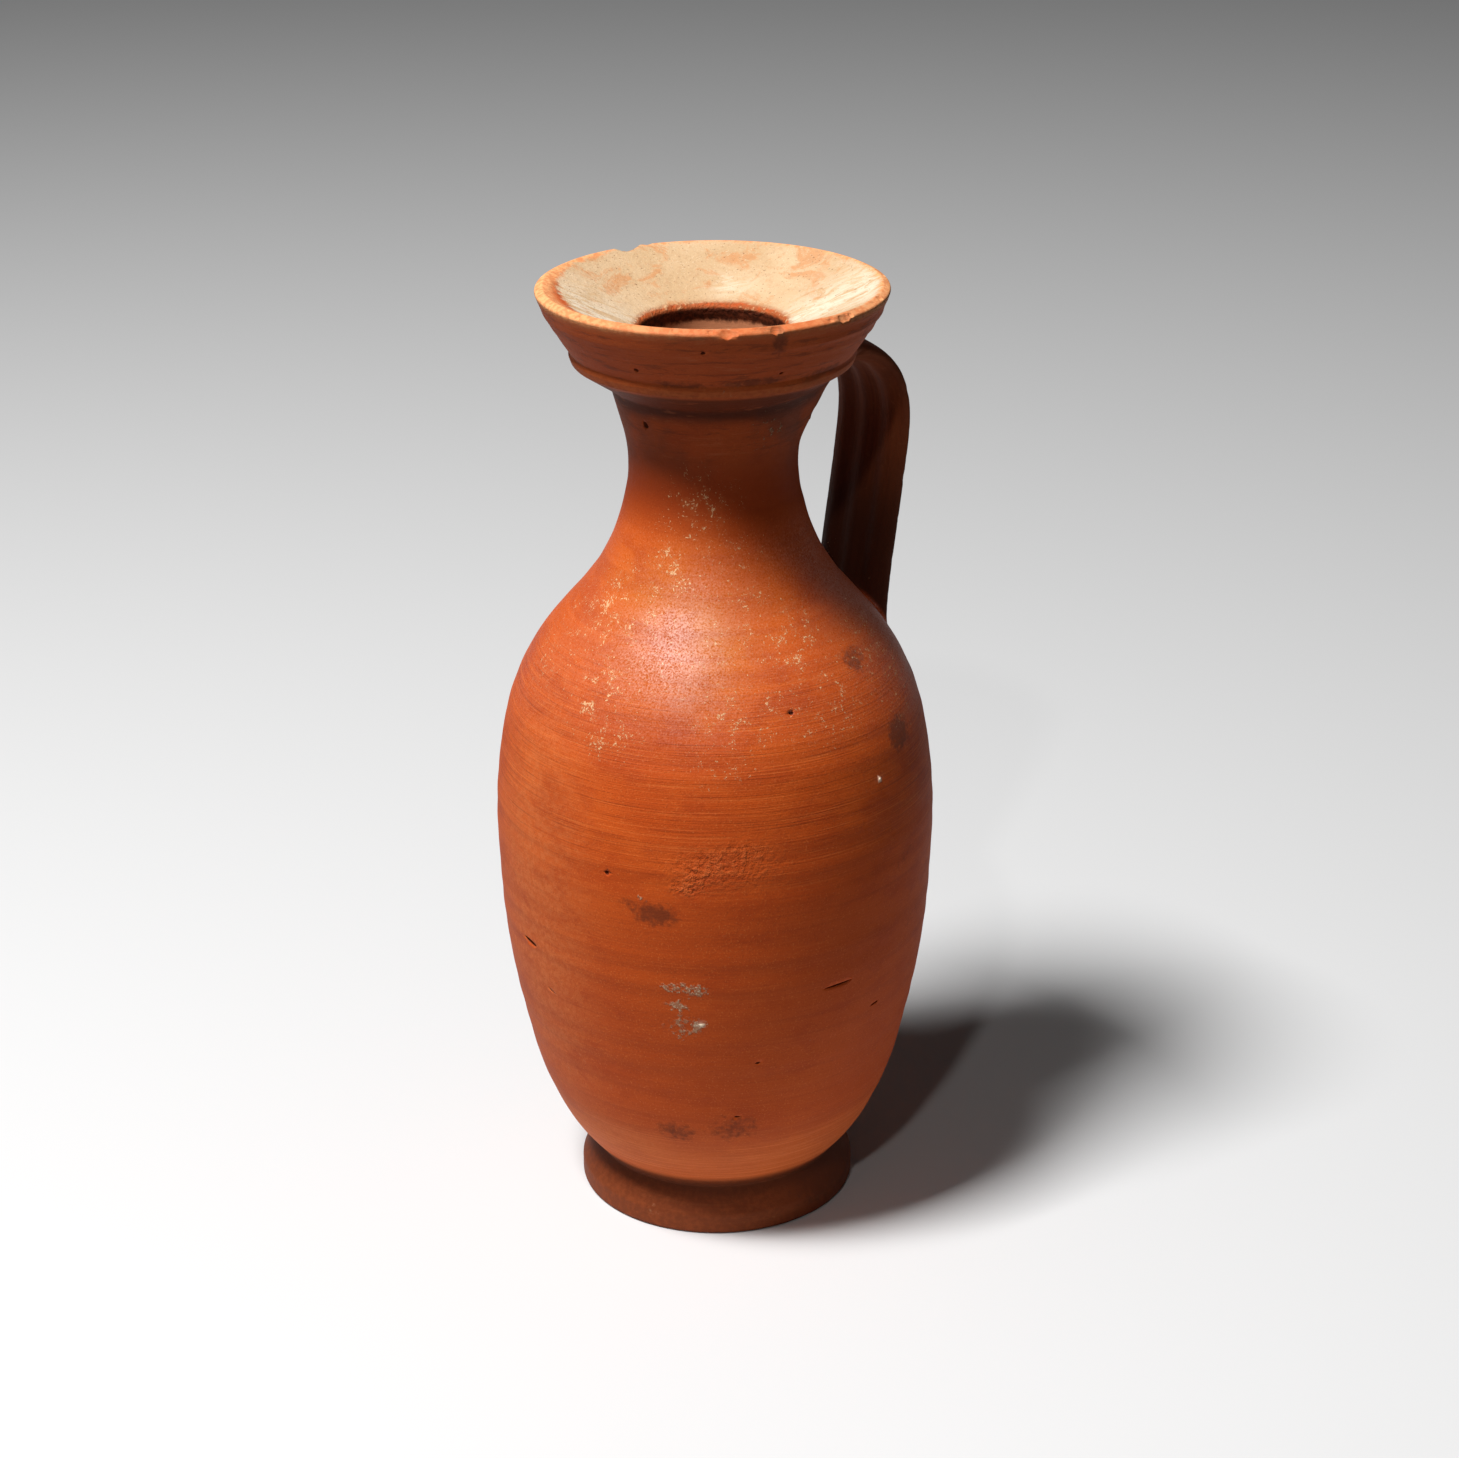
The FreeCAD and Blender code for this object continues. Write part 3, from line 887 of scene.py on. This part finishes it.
# %% Colour of the clay
clay = washed(
    blend(ease(cloud, 0.35, 0.68), tone(209, 89, 27), tone(197, 79, 22)),
    # A yellower ring on the shoulder: partly clay tone, partly painted sheen colour under the gloss.
    (zone(118, 136, 150, 162) * 0.3, tone(204, 100, 34)),
    # Painted sheen colour at the middle of the shoulder's gloss, and a faint ochre tint on the far
    # side.
    (painted("ochre_and_sheen") * 0.7, tone(194, 114, 28)),
    (ease(haze, 0.4, 0.62) * 0.50, tone(186, 72, 22)),
    (ease(level_field, 92, 66) * 0.6, tone(180, 72, 22)),
    # Painted rim light on the left side, and dust on the far side.
    (painted("dust_and_rim_light") * (0.35 + ease(crumb, 0.42, 0.6) * 0.4), tone(216, 122, 70)),
    (ease(band, 0.48, 0.68) * 0.22, tone(158, 60, 22)),
    (ease(blot, 0.48, 0.66) * 0.36, tone(162, 56, 19)),
    (dark_hair * 0.50, tone(130, 48, 16)),
    (pale_hair * 0.40, tone(234, 128, 62)),
    (ease(sand, 0.58, 0.72) * 0.36, tone(230, 132, 68)),
    (ease(sand, 0.42, 0.30) * 0.34, tone(140, 56, 22)))

# %% Mouth, neck and foot
above_waist = ease(level_field, 166, 172)
foot_clay = blend(ease(crumb, 0.40, 0.66), tone(106, 50, 25), tone(124, 60, 31))
clay = washed(
    clay,
    (ease(level_field, 180, 185) * 0.5, tone(182, 92, 50)),
    # Browner on the neck under the mouth: clay tone, made darker as painted shade.
    (zone(158, 168, 184, 187) * (0.45 + ease(cloud, 0.42, 0.6) * 0.3), tone(124, 66, 40)),
    # Painted shade of the mouth on the lower neck and the top of the shoulder.
    (zone(150, 160, 162, 172) * 0.75, tone(150, 58, 22)),
    # A dark band just under the ledge is the ridge's painted shadow on the neck.
    (zone(176, 179, 183.6, 185) * 0.85, tone(72, 32, 17)),
    (ease(level_field, 34, 18) * (0.35 + ease(hair, 0.5, 0.36) * 0.5), tone(226, 124, 68)),
    (ease(level_field, 14, 11.5) * 0.9, foot_clay),
    # Painted shade in the cove between the foot and the body.
    (zone(6.5, 9.5, 10.5, 12.5) * 0.6, tone(70, 32, 16)),
    (ease(smear, 0.52, 0.66) * above_waist * 0.5, tone(98, 50, 30)),
    (ease(smear, 0.44, 0.32) * above_waist * 0.35, tone(196, 112, 70)))

# %% Colour of the strap
# The strap's dark brown is partly its clay and partly painted shade.
strap_clay_and_shade = washed(
    blend(ease(pulled, 0.36, 0.64), tone(152, 78, 44), tone(134, 66, 38)),
    (ease(crumb, 0.58, 0.72) * 0.35, tone(176, 106, 68)),
    (ease(cloud, 0.45, 0.6) * 0.3, tone(112, 58, 36)),
    # Darker down towards the strap's foot, as painted shade from the neck and the belly.
    (ease(level_field, 166, 140) * 0.8, tone(62, 30, 19)))
clay = blend(strap_part, clay, strap_clay_and_shade)
print("plain clay:", len(tree.nodes), "nodes")

# %% Dirt, lime and wear, with painted shade, sheen and highlight
stain_and_shade = ease(painted("stain_and_shade") + (crumb - 0.5) * 1.3 + (cloud - 0.5) * 0.7, 0.36, 0.95)
scar = painted("scar")
lip_zone = ease(level_field, 194, 197)
pale_edge_clay = blend(lip_zone, tone(214, 116, 62), tone(240, 176, 120))
crumbs = noise(place, 0.50, 3, 0.65, 0.5)
clusters = noise(place, 3.0, 4, 0.72)
# Lime crumbs, and painted sheen where the shoulder's gloss is brightest.
lime_and_sheen = painted("lime_and_sheen")
flock = lime_and_sheen * ease(clusters, 0.50, 0.60)
fleck = ease(crumbs + flock * 0.16, 0.650, 0.70) * ease(lime_and_sheen, 0.02, 0.2)
crust = ease(painted("crust") + (crumb - 0.5) * 2.4, 0.62, 0.95)
clay = washed(
    clay,
    # Stains, and painted shade at the foot's right.
    (stain_and_shade * 0.68, tone(84, 42, 26)),
    (scar * ease(crumb, 0.46, 0.60) * 0.5, tone(226, 116, 60)),
    (scar * ease(crumb, 0.46, 0.34) * 0.4, tone(150, 60, 24)),
    # Wear on the lip's crown, and a painted highlight along the ridge's edge.
    (painted("wear_and_highlight") * (0.3 + lip_zone * 0.2 + ease(crumb, 0.4, 0.6) * 0.4), pale_edge_clay),
    (flock * 0.10, tone(222, 150, 90)),
    (fleck * 0.68, tone(240, 198, 148)),
    (crust * 0.65, tone(158, 126, 98)),
    (crust * ease(sand, 0.52, 0.64) * 0.7, tone(222, 200, 170)),
    (painted("speck"), tone(240, 222, 196)))
print("with dirt and lime:", len(tree.nodes), "nodes")

# %% Inside the dish
# The white lies in streaks across the dish, so its noise is turned and then drawn out.
across_dish = add("ShaderNodeVectorRotate", {"rotation_type": "Z_AXIS"},
                  {"Vector": place, "Angle": 0.65})
streak = noise(scaled(across_dish, 0.34, 1, 1), 3.0, 5, 0.72, 0.9)
bare = ease(noise(place, 7, 5, 0.68, 0.8) - painted("white") * 0.06, 0.50, 0.62)
white = limit(painted("white") * ease(streak, 0.40, 0.56))
lime = washed(
    blend(ease(cloud, 0.36, 0.64), tone(200, 170, 134), tone(190, 158, 120)),
    (bare * 0.7, tone(192, 130, 82)),
    (ease(crumb, 0.50, 0.70) * 0.35, tone(176, 134, 98)),
    (white * 0.85, tone(220, 206, 184)),
    (ease(noise(place, 0.5, 2, 0.5), 0.65, 0.72) * 0.7, tone(112, 76, 50)),
    (ease(sand, 0.58, 0.72) * 0.4, tone(222, 202, 174)))
dish_edge = ease(dish + (streak - 0.5) * 1.4 + (crumb - 0.5) * 0.8, 0.25, 0.8)
collar = painted("collar")
collar_clay = blend(ease(crumb, 0.54, 0.66), tone(158, 88, 50), tone(206, 158, 114))
# The throat is dark as painted shade, and a paler strip low on its far wall is painted light.
throat_shade_and_light = washed(
    blend(ease(crumb, 0.4, 0.6), tone(92, 42, 23), tone(64, 29, 15)),
    (ease(level_field + (crumb - 0.5) * 2, 188.8, 187.6), tone(170, 110, 76)))
clay = washed(
    clay,
    (dish_edge, lime),
    (collar * ease(crumb, 0.34, 0.50) * 0.8, collar_clay),
    (shaded_hollow, throat_shade_and_light),
    # Painted shade inside the pits and slits.
    (shaded_pit * 0.75, tone(58, 28, 18)))
print("with the dish:", len(tree.nodes), "nodes")

# %% Relief and gloss
# The relief is in mm.
relief = (sand - 0.5) * 0.05 + (crumb - 0.5) * 0.06 + (hair - 0.5) * wheel_zone * 0.10
relief = relief + (pulled - 0.5) * strap_part * 0.18 + (crumb - 0.5) * scar * 1.6
relief = relief + fleck * 0.035 + crust * 0.10 + (crumb - 0.5) * dish * 0.15
relief = relief + (crumb - 0.5) * collar * 0.8 + (smear - 0.5) * above_waist * 0.12
normal = add("ShaderNodeBump", {}, {"Strength": 1.0, "Distance": MM, "Height": relief})
rough = 0.62 + (crumb - 0.5) * 0.2 + fleck * 0.2 + crust * 0.3
rough = limit(rough + dish_edge * 0.2 + strap_part * 0.06 + shaded_pit * 0.2 + shaded_hollow * 0.1)
burnished = zone(106, 128, 144, 158) * (1 - strap_part)
polish = burnished * (0.54 + (cloud - 0.5) * 1.0 + (sand - 0.5) * 3.6 + (crumb - 0.5) * 0.8)
shader = add("ShaderNodeBsdfPrincipled", {}, {
    "Base Color": clay, "Roughness": rough, "Normal": normal, "Specular IOR Level": 0.12,
    "Coat Weight": limit(polish), "Coat Roughness": 0.48, "Coat IOR": 1.7})
add("ShaderNodeOutputMaterial", {}, {"Surface": shader})
jug.data.materials.clear()
jug.data.materials.append(material)
jug.data.polygons.foreach_set("material_index", np.zeros(len(jug.data.polygons), dtype=np.int32))
jug.data.shade_smooth()
print("clay made with", len(tree.nodes), "nodes")

# %% [markdown]
# ## Floor and light
# The jug stands on a plain pale floor. One lamp, high on the left, models it and throws its
# shadow to the back right, and a weak one near the camera opens the shade under the mouth. The
# floor and room look pale to the eye and in reflections. Little light comes back from them,
# apart from the paper round the foot.

# %% Floor, lamps and room
paper = bpy.data.materials.new("pale_floor")
paper.use_nodes = True
tree = paper.node_tree
tree.nodes.clear()


def seen_ray():
    """One for a ray from the camera, a reflection or a clear body, and zero for any other."""
    ray = [add("ShaderNodeLightPath", {}, {}, name) for name in
           ("Is Camera Ray", "Is Glossy Ray", "Is Transmission Ray")]
    return larger(larger(ray[0], ray[1]), ray[2])


def grey(share):
    """A grey that sends a share of the light back."""
    return (share, share, share, 1)


# Only the paper round the foot lights the lower belly: it darkens between these distances in m.
BRIGHT_TO, DARK_FROM = 0.11, 0.21
floor_place = add("ShaderNodeTexCoord", {}, {}, 3)
from_middle = add("ShaderNodeVectorMath", {"operation": "LENGTH"}, [floor_place], 1)
bounce = blend(ease(from_middle, BRIGHT_TO, DARK_FROM), grey(0.64), grey(0.08))
floor_colour = blend(seen_ray(), bounce, grey(0.70))
floor_shader = add("ShaderNodeBsdfDiffuse", {}, {"Color": floor_colour})
add("ShaderNodeOutputMaterial", {}, {"Surface": floor_shader})
FLOOR_HALF = 4000.0
corners = np.array([[-1, -1, 0], [1, -1, 0], [1, 1, 0], [-1, 1, 0]]) * FLOOR_HALF
floor = mesh_object("floor", corners, np.array([[0, 1, 2, 3]]))
floor.data.materials.append(paper)


LAMP_AIM = 100


def lamp(name, left, high, distance, size, power):
    """A square lamp aimed at the jug's middle, from a turn left of the camera and a height."""
    left, high = math.radians(left), math.radians(high)
    level_way = -math.cos(left) * ahead - math.sin(left) * right
    way = math.cos(high) * level_way + math.sin(high) * np.array([0, 0, 1])
    light = bpy.data.lights.new(name, "AREA")
    light.size, light.energy = size * MM, power
    made = bpy.data.objects.new(name, light)
    side = np.cross([0, 0, 1], way) / np.linalg.norm(np.cross([0, 0, 1], way))
    middle = np.array([0, 0, LAMP_AIM]) * MM + way * distance * MM
    made.matrix_world = Matrix([[*row, spot] for row, spot in zip(
        np.column_stack([side, np.cross(way, side), way]), middle)] + [[0, 0, 0, 1]])
    bpy.context.scene.collection.objects.link(made)


lamp("key", left=53, high=65, distance=1300, size=300, power=26)
lamp("front", left=12, high=40, distance=1500, size=60, power=2.2)
ROOM_LIGHT, ROOM_SEEN = 0.03, 0.20
room = bpy.data.worlds.new("room")
bpy.context.scene.world = room
room.use_nodes = True
tree = room.node_tree
tree.nodes.clear()
room_light = add("ShaderNodeBackground", {}, {"Strength": ROOM_LIGHT + seen_ray() * ROOM_SEEN})
add("ShaderNodeOutputWorld", {}, {"Surface": room_light})
bpy.context.scene.view_settings.view_transform = "Standard"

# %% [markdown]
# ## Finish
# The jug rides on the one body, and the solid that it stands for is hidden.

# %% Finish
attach(jug, "root")
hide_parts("jug")
